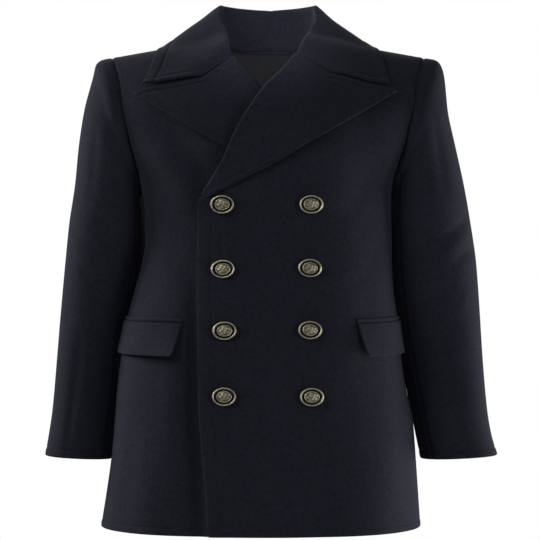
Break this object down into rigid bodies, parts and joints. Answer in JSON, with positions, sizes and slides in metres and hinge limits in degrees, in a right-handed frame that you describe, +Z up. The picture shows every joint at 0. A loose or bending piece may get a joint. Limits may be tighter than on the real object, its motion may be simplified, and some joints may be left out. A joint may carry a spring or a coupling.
{
  "type": "double-breasted pea coat",
  "caption": "Hip-length double-breasted wool coat, filled out as worn, with a wide collar, peak lapels, flap pockets and metal buttons.",
  "frame": {"origin": "middle of the shoulder line, where the wearer's shoulders carry the coat", "axes": "+Z up, -Y the way the coat faces, +X the wearer's left"},
  "size_m": [0.689, 0.3183, 0.7963],
  "materials": {
    "wool": "matte felted navy melton",
    "lining": "dark satin lining",
    "brass": "aged, with a bright rim"
  },
  "bodies": {
    "root": {"front_left": "wool", "front_right": "wool", "back_left": "wool", "back_right": "wool", "top_sleeve_left": "wool", "under_sleeve_left": "wool", "top_sleeve_right": "wool", "under_sleeve_right": "wool", "lapel_left": "wool", "lapel_right": "wool", "collar": "wool", "pocket_flap_left": "wool", "pocket_flap_right": "wool", "pocket_welt_left": "wool", "pocket_welt_right": "wool", "back_lining": "lining", "button_1": "brass", "button_2": "brass", "button_3": "brass", "button_4": "brass", "button_5": "brass", "button_6": "brass", "button_7": "brass", "button_8": "brass"}
  },
  "joints": []
}
